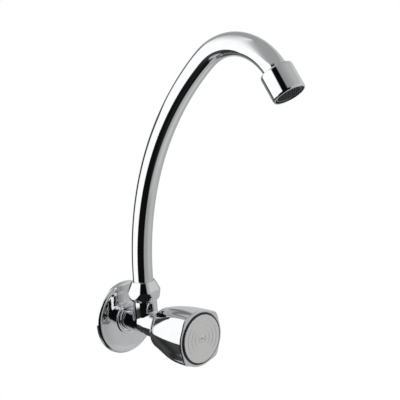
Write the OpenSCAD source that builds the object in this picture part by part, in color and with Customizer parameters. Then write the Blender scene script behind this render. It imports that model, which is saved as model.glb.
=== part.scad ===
// Wall-mounted sink tap with a swivelling swan-neck spout and a four-lobed knob.
// Millimetres. The inlet axis meets the wall at the origin, +Z is up and the tap reaches out along -Y.
// Along the inlet axis every station is a distance from the wall.

/* [Inlet and wall flange] */
// Crest diameter of the inlet thread (G 1/2)
inlet_thread_d = 20.955; // [19:0.005:24]
// Length of the inlet thread behind the wall face
inlet_thread_len = 18; // [12:1:30]
// Pitch of the inlet thread
inlet_pitch = 1.814; // [1:0.001:2.5]
// Bore of the inlet
inlet_bore_d = 13; // [10:0.5:14]
// Outer diameter of the wall flange
flange_d = 60; // [50:1:80]
// Height of the flange face over the wall
flange_h = 4.6; // [4:0.1:8]
// Radius of the flange's rounded edge
flange_edge_r = 3.2; // [2:0.1:3.6]
// Thickness of the flange metal
flange_wall = 1.2; // [0.8:0.1:1.6]

/* [Body] */
// Distance of the spout axis from the wall
spout_axis = 26; // [24:0.5:34]
// Diameter of the neck behind the spout barrel
neck_d = 18.8; // [18:0.1:20]
// Diameter of the barrel in front of the spout barrel
barrel_d = 20; // [19.6:0.1:22]
// Distance of the barrel's front face from the wall
barrel_end = 49; // [47:0.5:56]
// Diameter of the upright spout barrel
boss_d = 19.2; // [18.8:0.1:21]
// Height of the spout barrel's shoulder over the inlet axis
boss_h = 19.5; // [17:0.5:26]
// Diameter of the valve seat's hole
seat_d = 10; // [8:0.5:11]
// Diameter of the valve chamber
chamber_d = 15.2; // [14.6:0.1:16]

/* [Spout joint] */
// Diameter of the thread that the spout nut is screwed on
boss_thread_d = 17.2; // [17.1:0.1:17.4]
// Length of that thread
boss_thread_len = 7.5; // [6:0.5:8]
// Diameter of the spout tail that turns in the body
tail_d = 12.7; // [11:0.1:13]
// Length of the nut's four flats from its top edge down
nut_flat_len = 13.1; // [11:0.1:14]
// Diameter of the nut's band at its upper edge
nut_belt_d = 26.6; // [25:0.1:28]
// Height of the spout nut
nut_h = 15.6; // [14.8:0.1:18]
// Height of the band's lower edge over the nut's foot
nut_belt_h = 3.2; // [2:0.1:4]
// Height of the cone above the band
nut_cone_h = 8.1; // [6:0.1:9]
// Angle of the flats from the wall plane once the nut is tight
nut_turn = 6; // [0:1:45]

/* [Spout] */
// Outer diameter of the spout tube
tube_d = 16; // [15:0.1:16]
// Wall of the spout tube
tube_wall = 1; // [0.8:0.1:1.5]
// Centreline radius of the long rising bend
rise_r = 216; // [150:1:260]
// Angle of the long rising bend
rise_angle = 52.5; // [40:0.5:60]
// Centreline radius of the crook at the top
crook_r = 43.5; // [35:0.5:60]
// Angle of the crook at the top
crook_angle = 94; // [80:1:110]

/* [Aerator] */
// Outer diameter of the aerator shell
aerator_d = 22.4; // [22:0.1:25]
// Distance of the mouth from the end of the crook
aerator_len = 16.5; // [16:0.5:24]
// Distance of the aerator's shoulder behind the end of the crook
aerator_shoulder = 2.5; // [1.5:0.1:3]

/* [Valve] */
// Travel of the valve plunger between shut and open
valve_lift = 3.33; // [2:0.01:3.5]
// Diameter of the spindle where it turns in the bonnet
spindle_d = 8; // [7:0.1:8.2]
// Width of the bonnet's hexagon across its flats
bonnet_af = 17; // [16:0.5:18]

/* [Knob] */
// Distance of the knob's back edge from the wall
knob_back = 47.5; // [46.5:0.1:48]
// Distance of the knob's front rim from the wall
knob_front = 87.4; // [84:0.1:95]
// Diameter of the knob at its back
knob_back_d = 33.2; // [31:0.1:36]
// Diameter of the knob at its front, between the lobes
knob_front_d = 43.4; // [42:0.1:52]
// Height of the four lobes at the rim
lobe_h = 1.9; // [0:0.1:4]
// Angle of the first lobe from the horizontal at rest
lobe_angle = 40; // [-45:1:45]
// Diameter of the index disc in the knob's face
disc_d = 37.2; // [30:0.1:38]

/* [Fits] */
// Radial clearance of parts that turn or slide in one another
running_gap = 0.06; // [0.03:0.01:0.1]
// Radial clearance of parts that are screwed or pressed together
seat_gap = 0.05; // [0.03:0.01:0.1]

/* [Hidden] */
$fn = 72;

thread_r = inlet_thread_d / 2;
thread_depth = 0.64 * inlet_pitch;
body_floor = 13;
seat_at = 18;
chamber_floor = 17;
outlet_r = tail_d / 2 + running_gap;
boss_top = boss_h + boss_thread_len;
bonnet_back = barrel_end - 11;
bonnet_thread_r = chamber_d / 2 + 0.8;
gasket_t = 0.8;
hex_front = barrel_end + gasket_t + 6;
bonnet_front = hex_front + 8.2;
guide_end = barrel_end + 3;
collar_end = guide_end + 2.6;
hex_af = 11;
plunger_back = seat_at + 2.4;
plunger_front = guide_end - valve_lift - 3.6;
screw_back = plunger_front - 4;
spline_back = bonnet_front + 2;
spindle_end = spline_back + 10;
o_ring_r = 0.6;
slip_t = 1;
collar_h = 3;
collar_r = boss_thread_d / 2 - 0.1;
tube_r = tube_d / 2;
tube_foot = boss_top + slip_t + collar_h + 0.1;
nut_roof = tube_foot + slip_t;
nut_top = boss_h + nut_h;
rise_start = boss_h + 14.5;
tube_end = 6;
aerator_r = aerator_d / 2;
cup_r = aerator_r - 1.05;
bore_r = aerator_r - 2.15;
mouth_r = aerator_r - 1.2;
ledge = tube_end + 3.3;
mouth_step = aerator_len - 1.1;
disc_r = disc_d / 2;
ring_r = disc_r + 1.15;
ring_front = knob_front - 1.2;
disc_front = ring_front + 2.2;
knob_round = 1.2;
rim_round = 1.4;
knob_wall = 2.4;
web_back = spindle_end - 4;
web_front = spindle_end + 2;
lobe_start = knob_back + 4;
lobe_full = knob_back + 0.7 * (knob_front - knob_back);

// Points of an arc around a centre, from one angle to another.
function arc(c, r, a0, a1, n = 10) = [for (i = [0:n]) let (a = a0 + (a1 - a0) * i / n)
    c + r * [cos(a), sin(a)]];

// A smooth step from 0 to 1.
function ease(u) = let (c = max(0, min(1, u))) c * c * (3 - 2 * c);

// Radius of the knob between its lobes at a distance from the wall.
function knob_r(d) = knob_back_d / 2 + (knob_front_d - knob_back_d) / 2
    * (1 - pow(1 - min(1, (d - knob_back - knob_round) / (0.85 * (knob_front - knob_back))), 2));

// Height of the lobes at a distance from the wall and an angle around the knob.
function lobe(d, a) = lobe_h * ease((d - lobe_start) / (lobe_full - lobe_start))
    * pow((1 + cos(4 * (a - lobe_angle))) / 2, 5);

// Lays a shape that is drawn upright along the inlet axis, so that its z is the distance from the wall.
module outward() {
    rotate([90, 0, 0]) children();
}

// Lays a shape that is drawn upright on the spout's swivel axis.
module on_spout() {
    translate([0, -spout_axis, 0]) children();
}

// Moves a shape from the start of a bend to its end.
module after_bend(r, a) {
    translate([0, -r, 0]) rotate([a, 0, 0]) translate([0, r, 0]) children();
}

// One round bend that starts upright at the origin and leans towards -Y.
module bend(r, a, section_r) {
    rotate([90, 0, 90]) translate([-r, 0, 0]) rotate_extrude(angle = a, $fn = 144)
        translate([r, 0]) circle(r = section_r, $fn = 48);
}

// Lays a shape that is drawn upright on the outlet axis, from the end of the crook.
module at_outlet() {
    on_spout() translate([0, 0, rise_start]) after_bend(rise_r, rise_angle)
        after_bend(crook_r, crook_angle) children();
}

// A flat ring between two stations of its axis.
module ring(r_in, r_out, z0, z1) {
    rotate_extrude() translate([r_in, z0]) square([r_out - r_in, z1 - z0]);
}

// A round rod between two stations of its axis.
module rod(r, z0, z1) {
    translate([0, 0, z0]) cylinder(r = r, h = z1 - z0);
}

// A hexagonal bar of a width across flats, between two stations of its axis.
module hex_bar(af, z0, z1) {
    translate([0, 0, z0]) cylinder(r = af / sqrt(3), h = z1 - z0, $fn = 6);
}

// A rubber ring of round section.
module o_ring(r, section_r, z) {
    translate([0, 0, z]) rotate_extrude() translate([r, 0]) circle(r = section_r, $fn = 24);
}

// A toothed outline, for the spindle's spline and the bush around it.
module spline_outline(r, depth, teeth = 20) {
    polygon([for (i = [0:2 * teeth - 1]) let (q = i % 2 == 0 ? r : r - depth, a = 180 * i / teeth)
        q * [cos(a), sin(a)]]);
}

// The thread behind the wall, as ridges that stand in for the helix, and the collar that the flange sits on.
module inlet_thread() {
    ridges = floor((inlet_thread_len - 4) / inlet_pitch);
    crest = inlet_pitch * 0.25;
    flank = (inlet_pitch - 2 * crest) / 2;
    end = -inlet_thread_len;
    rotate_extrude() polygon(concat(
        [[0, end], [thread_r - 1, end], [thread_r, end + 1], [thread_r, end + 1.6]],
        [for (i = [0:ridges - 1]) let (z = end + 1.6 + i * inlet_pitch) each [
            [thread_r - thread_depth, z + flank], [thread_r - thread_depth, z + flank + crest],
            [thread_r, z + 2 * flank + crest], [thread_r, z + inlet_pitch]]],
        [[thread_r, 0], [thread_r - 0.25, 0], [thread_r - 0.25, flange_h - 0.6], [0, flange_h - 0.6]]));
}

// The cast brass body: inlet, valve chamber and the upright barrel of the spout.
module body_casting() {
    color("silver") union() {
        difference() {
            union() {
                outward() inlet_thread();
                outward() rod(neck_d / 2, 1, spout_axis);
                outward() translate([0, 0, spout_axis - 12])
                    cylinder(r1 = neck_d / 2, r2 = barrel_d / 2, h = 6);
                outward() rod(barrel_d / 2, spout_axis - 6, barrel_end);
                on_spout() rod(boss_d / 2, 0, boss_h);
                on_spout() rod(boss_thread_d / 2, boss_h - 1, boss_top);
            }
            outward() rod(inlet_bore_d / 2, -inlet_thread_len - 1, body_floor);
            outward() rod(seat_d / 2, body_floor - 1, chamber_floor + 1);
            outward() rod(chamber_d / 2, chamber_floor, barrel_end + 1);
            outward() rod(bonnet_thread_r, bonnet_back, barrel_end + 1);
            on_spout() rod(outlet_r, 0, boss_top + 1);
        }
        outward() ring(seat_d / 2, seat_d / 2 + 1.2, chamber_floor - 0.2, seat_at);
    }
}

// The flange that covers the hole in the wall: a spun cup with a raised bead around its hole.
module wall_flange() {
    r = flange_d / 2;
    hole = thread_r + 0.12;
    e = flange_edge_r;
    face = flange_h - 0.5;
    color("silver") outward() rotate_extrude() polygon(concat(
        [[r, 0]], arc([r - e, face - e], e, 0, 84),
        [[hole + 2.6, flange_h - 0.2]], arc([hole + 1.25, flange_h], 1.25, 0, 180),
        [[hole, flange_h - flange_wall - 0.6], [hole + 2, flange_h - flange_wall - 0.6],
         [r - e, face - flange_wall]],
        arc([r - e, face - e], e - flange_wall, 84, 0), [[r - flange_wall, 0]]));
}

// The headwork's brass housing, screwed into the front of the body.
module bonnet() {
    color("goldenrod") outward() difference() {
        union() {
            rod(bonnet_thread_r - seat_gap, bonnet_back, barrel_end + gasket_t + 1);
            hex_bar(bonnet_af, barrel_end + gasket_t, hex_front);
            rod(6.8, hex_front - 1, bonnet_front);
        }
        hex_bar(hex_af, bonnet_back - 1, guide_end);
        rod(hex_af / 2, guide_end - 1, collar_end);
        rod(spindle_d / 2 + running_gap, collar_end - 1, bonnet_front + 1);
    }
}

// The fibre washer between bonnet and body.
module bonnet_gasket() {
    color("firebrick") outward() ring(bonnet_thread_r + 0.05, barrel_d / 2 - 0.2, barrel_end,
                                      barrel_end + gasket_t);
}

// The nut that keeps the spout in the body: a band, a cone above it, four leaning flats that are steeper below
// a knee, and four facets between them that lean in towards the foot.
module spout_nut() {
    r = nut_belt_d / 2;
    foot = [boss_d / 2 + 0.9, boss_h];
    top = [tube_r + 1.4, nut_top];
    edge_r = 0.6;
    low_r = r - 0.2;
    low = atan2(foot[0] - low_r, nut_belt_h);
    high = atan2(r - top[0], nut_cone_h);
    low_edge = [low_r - edge_r, boss_h + nut_belt_h - edge_r * tan(low / 2)];
    high_edge = [r - edge_r, nut_top - nut_cone_h - edge_r * tan(high / 2)];
    flat_top = tube_r + 0.7;
    knee = [tube_r + 3.7, nut_top - 7.1];
    upper_lean = (knee[0] - flat_top) / (nut_top - knee[1]);
    lower_lean = (r - knee[0]) / (knee[1] - nut_top + nut_flat_len);
    facet = [r - 0.5, nut_top - nut_cone_h];
    facet_rise = 4;
    facet_lean = tan(12.5);
    color("silver") on_spout() difference() {
        rotate_extrude() polygon(concat([[0, foot[1]], foot], arc(low_edge, edge_r, low, 0),
                                        arc(high_edge, edge_r, 0, high), [top, [0, top[1]]]));
        for (side = [0:3]) rotate([0, 0, nut_turn + 90 * side]) rotate([90, 0, 0])
            linear_extrude(2 * nut_belt_d, center = true)
            polygon([[flat_top - upper_lean, nut_top + 1], [nut_belt_d, nut_top + 1],
                     [nut_belt_d, knee[1] - (nut_belt_d - knee[0]) / lower_lean], knee]);
        for (side = [0:3]) rotate([0, 0, nut_turn + 90 * side + 45]) rotate([90, 0, 0])
            linear_extrude(2 * nut_belt_d, center = true)
            polygon([[facet[0] + facet_lean * facet_rise, facet[1] + facet_rise],
                     [nut_belt_d, facet[1] + facet_rise], [nut_belt_d, boss_h - 1],
                     [facet[0] - facet_lean * (facet[1] - boss_h + 1), boss_h - 1]]);
        rod(boss_thread_d / 2 + seat_gap, boss_h - 1, nut_roof);
        rod(tube_r + 2 * running_gap, boss_h, nut_top + 1);
    }
}

// The nylon ring that the spout's collar turns on.
module lower_slip_ring() {
    color("white") on_spout() ring(tail_d / 2 + 0.15, collar_r, boss_top, boss_top + slip_t);
}

// The nylon ring between the spout's collar and the nut.
module upper_slip_ring() {
    color("white") on_spout() ring(tube_r + 0.1, boss_thread_d / 2 - 0.05, tube_foot, nut_roof);
}

// The brass plunger that slides in the bonnet's hexagonal guide and shuts the seat.
module valve_plunger() {
    color("goldenrod") outward() difference() {
        union() {
            rod(6.2, plunger_back, plunger_back + 2.2);
            rod(4.4, plunger_back + 2, bonnet_back - 5);
            hex_bar(hex_af - 2 * running_gap, bonnet_back - 5, plunger_front);
        }
        rod(2, plunger_back - 1, plunger_back + 4.5);
        rod(3 + running_gap, screw_back - valve_lift - 1.2, plunger_front + 1);
    }
}

// The rubber washer that meets the seat.
module seat_washer() {
    color("black") outward() ring(2.1, 6, seat_at + 0.05, plunger_back);
}

// The screw that holds the rubber washer on the plunger.
module washer_screw() {
    color("goldenrod") outward() difference() {
        union() {
            rod(3.4, seat_at - 1.6, seat_at + 0.05);
            rod(1.95, seat_at - 1, plunger_back + 4);
        }
        translate([-4, -0.4, seat_at - 2]) cube([8, 0.8, 1]);
    }
}

// The spindle: screw, collar, shaft with two seal grooves, clip groove and spline.
module spindle() {
    r = spindle_d / 2;
    color("goldenrod") outward() difference() {
        union() {
            rod(3, screw_back, guide_end + 0.5);
            rod(hex_af / 2 - 2 * running_gap, guide_end + 0.2, collar_end - 0.05);
            rod(r, collar_end - 0.5, spline_back);
            translate([0, 0, spline_back - 0.5]) linear_extrude(spindle_end - spline_back + 0.5)
                spline_outline(r - 0.1, 0.45);
        }
        for (z = [collar_end + 2.6, collar_end + 5.8]) ring(r - 1.2, r + 1, z - 0.75, z + 0.75);
        ring(r - 0.7, r + 1, bonnet_front + 0.4, bonnet_front + 1.2);
        rod(1.9, spline_back, spindle_end + 1);
    }
}

// The two rubber rings in the spindle's grooves.
module spindle_o_rings() {
    color("black") outward() for (z = [collar_end + 2.6, collar_end + 5.8])
        o_ring(spindle_d / 2 - 0.58, o_ring_r, z);
}

// The nylon washer under the clip.
module thrust_washer() {
    color("white") outward() ring(spindle_d / 2 + 0.1, 6.4, bonnet_front, bonnet_front + 0.4);
}

// The open steel clip that keeps the spindle from sinking into the bonnet.
module spindle_clip() {
    color("gray") outward() difference() {
        ring(spindle_d / 2 - 0.65, 5.6, bonnet_front + 0.45, bonnet_front + 1.15);
        translate([-1.2, 0, bonnet_front]) cube([2.4, 8, 2]);
    }
}

// The knob's outer form: rings of points, each with its four lobes, closed by a flat back and front.
module knob_form() {
    steps = 80;
    r0 = knob_back_d / 2;
    tail = [for (i = [0:3]) let (t = 90 * i / 4)
        [knob_round * (sin(t) - 1), knob_back + knob_round * (1 - cos(t))]];
    side = [for (i = [0:18]) [0, knob_back + knob_round
        + (knob_front - knob_back - knob_round - rim_round) * i / 18]];
    rim = [for (i = [1:4]) let (t = 90 * i / 4)
        [rim_round * (cos(t) - 1), knob_front - rim_round * (1 - sin(t))]];
    rows = concat(tail, side, rim);
    n = len(rows);
    points = concat(
        [for (row = rows, k = [0:steps - 1]) let (a = 360 * k / steps,
            d = max(row[1], knob_back + knob_round), r = row[0] + knob_r(d) + lobe(d, a))
            [r * cos(a), r * sin(a), row[1]]],
        [[0, 0, knob_back], [0, 0, knob_front]]);
    walls = [for (j = [0:n - 2], k = [0:steps - 1]) let (p = j * steps, q = (k + 1) % steps) each [
        [p + k, p + steps + k, p + q], [p + q, p + steps + k, p + steps + q]]];
    ends = [for (k = [0:steps - 1]) let (q = (k + 1) % steps, p = (n - 1) * steps) each [
        [k, q, n * steps], [p + q, p + k, n * steps + 1]]];
    polyhedron(points, concat(walls, ends));
}

// The chromed knob: a hollow skirt around the bonnet, a web, a hub for the spline and a seat for the disc.
module handle_knob() {
    floor_d = knob_back + 2.2;
    opening = knob_r(floor_d) - knob_wall;
    skirt = [for (i = [0:8]) let (d = floor_d + (web_back - floor_d) * i / 8) [knob_r(d) - knob_wall, d]];
    color("silver") outward() difference() {
        knob_form();
        rod(opening, knob_back - 1, knob_back + 3);
        difference() {
            rotate_extrude() polygon(concat([[0, floor_d]], skirt, [[0, web_back]]));
            rod(8.6, spline_back + 0.2, web_back + 1);
        }
        rod(5.6, spline_back - 1, spindle_end + 0.2);
        rod(2.2, spindle_end - 1, web_front + 1);
        rod(disc_r - 2.9, web_front, knob_front + 1);
        rod(ring_r + seat_gap, ring_front - 1.8, knob_front + 1);
    }
}

// The splined nylon bush in the knob's hub.
module spline_bush() {
    color("white") outward() translate([0, 0, spline_back + 0.2])
        linear_extrude(spindle_end - spline_back) difference() {
            circle(r = 5.6 - seat_gap);
            spline_outline(spindle_d / 2 - 0.05, 0.45);
        }
}

// The screw that holds the knob on the spindle.
module handle_screw() {
    color("gray") outward() difference() {
        union() {
            rod(1.85, spline_back + 1, web_front + 1);
            rod(3.8, web_front, web_front + 2.6);
        }
        for (a = [0, 90]) rotate([0, 0, a]) translate([-2.4, -0.45, web_front + 1]) cube([4.8, 0.9, 2]);
    }
}

// The dark ring around the index disc.
module index_ring() {
    color("midnightblue") outward() ring(disc_r - 2.9, ring_r, ring_front - 1.8, ring_front);
}

// The index disc: a satin cap with turned rings, plugged into the knob's pocket.
module index_disc() {
    skirt_r = disc_r - 2.9 - seat_gap;
    turned = [for (k = [1:4]) 0.2 * disc_r * k];
    color("lightgray") outward() difference() {
        union() {
            rotate_extrude() polygon([[0, ring_front - 1], [skirt_r, ring_front - 1], [skirt_r, ring_front],
                                      [disc_r, ring_front], [disc_r, disc_front - 0.25],
                                      [disc_r - 0.25, disc_front], [0, disc_front]]);
            ring(skirt_r - 1.5, skirt_r, web_front + 3, ring_front + 0.2);
        }
        for (r = turned) ring(r - 0.15, r + 0.15, disc_front - 0.15, disc_front + 1);
    }
}

// One run of the spout's path, solid, with a radius: foot, two bends and the straight end.
// A hair-thin bead where two runs meet makes them one solid.
module spout_run(r) {
    bead = 0.02;
    on_spout() {
        rod(r, tube_foot, rise_start);
        translate([0, 0, rise_start]) {
            bend(rise_r, rise_angle, r);
            after_bend(rise_r, rise_angle) {
                rod(r + bead, -0.4, 0.4);
                bend(crook_r, crook_angle, r);
                after_bend(crook_r, crook_angle) {
                    rod(r + bead, -0.4, 0.4);
                    rod(r, 0, tube_end);
                }
            }
        }
    }
}

// The bent brass tube of the spout.
module spout_tube() {
    color("silver") difference() {
        spout_run(tube_r);
        spout_run(tube_r - tube_wall);
    }
}

// The tail brazed into the spout: a collar under the nut and a plug with two seal grooves.
module spout_tail() {
    r = tail_d / 2;
    collar_z = boss_top + slip_t + 0.05;
    color("goldenrod") on_spout() difference() {
        union() {
            rod(r, boss_h - 8, collar_z + 1);
            rod(collar_r, collar_z, tube_foot - 0.05);
            rod(tube_r - tube_wall - seat_gap, tube_foot - 1, tube_foot + 2);
        }
        rod(r - 2.1, boss_h - 9, tube_foot + 3);
        for (z = [boss_h - 5, boss_h + 0.5]) ring(r - 1.25, r + 1, z - 0.8, z + 0.8);
    }
}

// The two rubber rings in the tail's grooves.
module tail_o_rings() {
    color("black") on_spout() for (z = [boss_h - 5, boss_h + 0.5]) o_ring(tail_d / 2 - 0.6, o_ring_r, z);
}

// The threaded ferrule brazed on the end of the spout.
module outlet_ferrule() {
    color("goldenrod") at_outlet() ring(tube_r + 0.02, cup_r - seat_gap, 0.8, tube_end);
}

// The aerator's chromed shell: low shoulder, cylinder, rounded lip.
module aerator_shell() {
    lip = 1;
    color("silver") at_outlet() rotate_extrude() polygon(concat(
        [[tube_r + 0.2, -aerator_shoulder], [aerator_r - 0.8, -aerator_shoulder + 0.7],
         [aerator_r - 0.2, -aerator_shoulder + 1], [aerator_r, -aerator_shoulder + 1.6]],
        arc([aerator_r - lip, aerator_len - lip], lip, 0, 90, 6),
        [[mouth_r, aerator_len], [mouth_r, mouth_step], [bore_r, mouth_step], [bore_r, ledge],
         [cup_r, ledge], [cup_r, 0.6], [tube_r + 0.2, 0.6]]));
}

// The rubber washer between the spout and the aerator's insert.
module aerator_gasket() {
    color("black") at_outlet() ring(tube_r - 1.6, cup_r - seat_gap, tube_end + 0.05, tube_end + 2);
}

// The plastic flow insert: a flange on the shell's ledge and a body with round passages.
module aerator_insert() {
    r = bore_r - seat_gap;
    color("dimgray") at_outlet() difference() {
        union() {
            rod(cup_r - seat_gap, tube_end + 2.05, ledge);
            rod(r, ledge - 0.5, mouth_step - 0.4);
        }
        rod(0.9, tube_end, aerator_len);
        for (k = [0:5]) rotate([0, 0, 60 * k]) translate([3, 0, 0]) rod(0.9, tube_end, aerator_len);
        for (k = [0:11]) rotate([0, 0, 30 * k + 15]) translate([5.8, 0, 0]) rod(0.9, tube_end, aerator_len);
    }
}

// The steel screen at the mouth: a rim and a square mesh.
module aerator_screen() {
    r = bore_r - 0.3;
    pitch = 1.3;
    hole = 0.8;
    z0 = mouth_step - 0.4;
    reach = floor((r - 1.2) / pitch);
    color("gray") at_outlet() union() {
        ring(r - 0.5, r, z0, mouth_step + 0.4);
        difference() {
            rod(r - 0.4, z0 + 0.2, z0 + 0.5);
            for (i = [-reach:reach], j = [-reach:reach])
                if (norm([i, j]) * pitch < r - 1.3)
                    translate([i * pitch - hole / 2, j * pitch - hole / 2, z0]) cube([hole, hole, 1]);
        }
    }
}

// The rubber ring that fills the mouth between screen and lip.
module mouth_ring() {
    color("black") at_outlet() ring(bore_r - 0.2, mouth_r - 0.05, mouth_step, mouth_step + 0.6);
}

body_casting();
wall_flange();
bonnet();
bonnet_gasket();
spout_nut();
lower_slip_ring();
upper_slip_ring();
valve_plunger();
seat_washer();
washer_screw();
spindle();
spindle_o_rings();
thrust_washer();
spindle_clip();
handle_knob();
spline_bush();
handle_screw();
index_ring();
index_disc();
spout_tube();
spout_tail();
tail_o_rings();
outlet_ferrule();
aerator_shell();
aerator_gasket();
aerator_insert();
aerator_screen();
mouth_ring();
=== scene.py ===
"""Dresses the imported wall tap: chromed skins over its solids, a light tent and the photograph's camera.

Lengths are written in millimetres, as in the part's source, and turned to metres where a mesh is made; the
studio's are in metres. Stations along the inlet axis are distances out from the wall, along -Y.
"""

from __future__ import annotations

import logging
import math
from collections.abc import Sequence
from dataclasses import dataclass
from enum import Enum

import bmesh
import bpy
import numpy as np
from mathutils import Matrix, Vector

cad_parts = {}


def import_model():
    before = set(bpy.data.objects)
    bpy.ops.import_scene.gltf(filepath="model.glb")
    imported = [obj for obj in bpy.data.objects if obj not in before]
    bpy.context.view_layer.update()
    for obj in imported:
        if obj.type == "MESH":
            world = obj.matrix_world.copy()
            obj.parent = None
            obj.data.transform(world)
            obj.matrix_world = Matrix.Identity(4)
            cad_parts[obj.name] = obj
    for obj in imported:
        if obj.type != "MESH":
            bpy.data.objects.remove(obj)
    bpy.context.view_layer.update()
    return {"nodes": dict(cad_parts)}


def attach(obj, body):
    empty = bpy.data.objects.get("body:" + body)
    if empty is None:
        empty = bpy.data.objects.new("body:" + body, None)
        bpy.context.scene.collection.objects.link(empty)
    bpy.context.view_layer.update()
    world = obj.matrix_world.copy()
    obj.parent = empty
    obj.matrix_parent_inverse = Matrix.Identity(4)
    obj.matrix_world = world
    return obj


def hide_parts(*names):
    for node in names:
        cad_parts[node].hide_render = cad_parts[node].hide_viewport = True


LOG = logging.getLogger("tap")
MM = 0.001
IMAGE_PX = 400
SENSOR_MM = 36.0
WAVE_RING = 0.314
ON_PLANE = 1e-5
OUTWARD = Matrix(((1, 0, 0, 0), (0, 0, -1, 0), (0, 1, 0, 0), (0, 0, 0, 1)))
SOFT_STEP = {"interpolation_type": "SMOOTHSTEP"}
Tree = bpy.types.NodeTree
Socket = bpy.types.NodeSocket
Span = tuple[float, float]
# Azimuths in degrees, each with its sRGB grey as two hex digits.
Greys = tuple[tuple[float, str], ...]


def linear(code: str) -> tuple[float, float, float, float]:
    """Turns an sRGB hex colour to linear RGBA.

    Args:
        code: six hex digits, such as "B4B5B4".

    Returns:
        Linear red, green and blue with full alpha.
    """
    values = [int(code[i:i + 2], 16) / 255 for i in (0, 2, 4)]
    red, green, blue = [v / 12.92 if v <= 0.04045 else ((v + 0.055) / 1.055) ** 2.4 for v in values]
    return red, green, blue, 1.0


def add_node(tree: Tree, kind: str, settings: dict | None = None,
             inputs: dict | None = None) -> bpy.types.Node:
    """Adds a node with its settings, its constant inputs and its links.

    Args:
        tree: the node tree to add to.
        kind: the node's type name.
        settings: attribute name to value.
        inputs: input name or index to a constant, or to the output socket that feeds it.

    Returns:
        The new node.
    """
    node = tree.nodes.new(kind)
    for name, value in (settings or {}).items():
        setattr(node, name, value)
    for key, value in (inputs or {}).items():
        if isinstance(value, Socket):
            tree.links.new(value, node.inputs[key])
        else:
            node.inputs[key].default_value = value
    return node


def add_object(name: str, mesh: bpy.types.Mesh) -> bpy.types.Object:
    """Links a mesh to the scene as an object.

    Args:
        name: the object's name.
        mesh: its mesh.

    Returns:
        The object.
    """
    piece = bpy.data.objects.new(name, mesh)
    bpy.context.scene.collection.objects.link(piece)
    return piece


def smooth(u: np.ndarray | float) -> np.ndarray | float:
    """Eases a share from 0 to 1 so that it starts and ends level."""
    return u * u * (3 - 2 * u)


class Pattern(Enum):
    """How a surface was made, which sets the fine pattern on it."""

    POLISHED = "polished"
    TURNED = "turned"
    MOULDED = "moulded"
    PRESSED = "pressed"


@dataclass(frozen=True)
class Finish:
    """One material: its two close colours, its gloss and the fine pattern that its making left.

    Attributes:
        name: the material and how its surface was made.
        slot: the record's material slot; not used.
        light: the lighter sRGB colour.
        dark: the darker sRGB colour.
        metallic: 1 for metals.
        rough: the lowest and the highest roughness.
        pattern: how the surface was made.
        grain_mm: the size of the pattern's marks.
        relief_mm: the height of the pattern's marks.
        specular: the strength of the mirror layer on anything that isn't metal.
    """

    name: str
    slot: str
    light: str
    dark: str
    metallic: float
    rough: Span
    pattern: Pattern
    grain_mm: float
    relief_mm: float = 0.0
    specular: float = 0.5

    def material(self) -> bpy.types.Material:
        """Makes the material, or gives the one that was made before.

        Returns:
            A node material with this finish.
        """
        made = bpy.data.materials.get(self.name)
        if made:
            return made
        made = bpy.data.materials.new(self.name)
        made.use_nodes = True
        tree = made.node_tree
        shader = tree.nodes["Principled BSDF"]
        shader.inputs["Metallic"].default_value = self.metallic
        shader.inputs["Specular IOR Level"].default_value = self.specular
        place = add_node(tree, "ShaderNodeTexCoord").outputs["Object"]
        grain = self.grain(tree, place)
        tint = add_node(tree, "ShaderNodeMix", {"data_type": "RGBA"},
                        {"Factor": grain, "A": linear(self.dark), "B": linear(self.light)})
        tree.links.new(tint.outputs["Result"], shader.inputs["Base Color"])
        gloss = add_node(tree, "ShaderNodeMapRange", None,
                         {"Value": grain, "To Min": self.rough[0], "To Max": self.rough[1]})
        tree.links.new(gloss.outputs["Result"], shader.inputs["Roughness"])
        if self.relief_mm:
            bump = add_node(tree, "ShaderNodeBump", None,
                            {"Strength": 1.0, "Distance": self.relief_mm * MM, "Height": grain})
            tree.links.new(bump.outputs["Normal"], shader.inputs["Normal"])
        return made

    def grain(self, tree: Tree, place: Socket) -> Socket:
        """Adds the pattern's nodes.

        Args:
            tree: the material's tree.
            place: the position in metres.

        Returns:
            A socket with the pattern's height from 0 to 1.
        """
        per_metre = 1 / (self.grain_mm * MM)
        if self.pattern is Pattern.TURNED:
            # Tool lines run around the knob's axis; WAVE_RING units hold one ring of the wave.
            wave = add_node(tree, "ShaderNodeTexWave", {"wave_type": "RINGS", "rings_direction": "Y"},
                            {"Vector": place, "Scale": WAVE_RING * per_metre, "Distortion": 0.6,
                             "Detail": 2.0, "Detail Scale": 0.2})
            return wave.outputs["Fac"]
        stretch = (1.0, 1.0, 0.25) if self.pattern is Pattern.PRESSED else (1.0, 1.0, 1.0)
        mapped = add_node(tree, "ShaderNodeMapping", None, {"Vector": place, "Scale": stretch})
        detail = {Pattern.POLISHED: 2.0, Pattern.MOULDED: 4.0, Pattern.PRESSED: 8.0}[self.pattern]
        noise = add_node(tree, "ShaderNodeTexNoise", None,
                         {"Vector": mapped.outputs["Vector"], "Scale": per_metre, "Detail": detail})
        return noise.outputs["Fac"]


# Bright nickel-chrome plate on polished brass, with the faint haze that a buffing wheel leaves.
CHROMED_BRASS = Finish("chrome_plate_on_polished_brass", "chromed_brass", "EDEEEF", "E3E5E7", 1.0,
                       (0.03, 0.06), Pattern.POLISHED, grain_mm=6.0)
# The same plate on moulded ABS: a little softer, because plastic is never as flat as buffed brass.
CHROMED_ABS = Finish("chrome_plate_on_moulded_abs", "chromed_abs", "ECEDEF", "E2E4E6", 1.0,
                     (0.04, 0.08), Pattern.POLISHED, grain_mm=5.0)
# Satin chrome with tool lines around the centre, 0.4 mm apart so that they show.
SATIN_DISC = Finish("satin_chrome_on_turned_disc", "satin_chromed_abs", "F4F4F3", "ECECEB", 1.0,
                    (0.1, 0.18), Pattern.TURNED, grain_mm=0.4, relief_mm=0.002)
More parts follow.
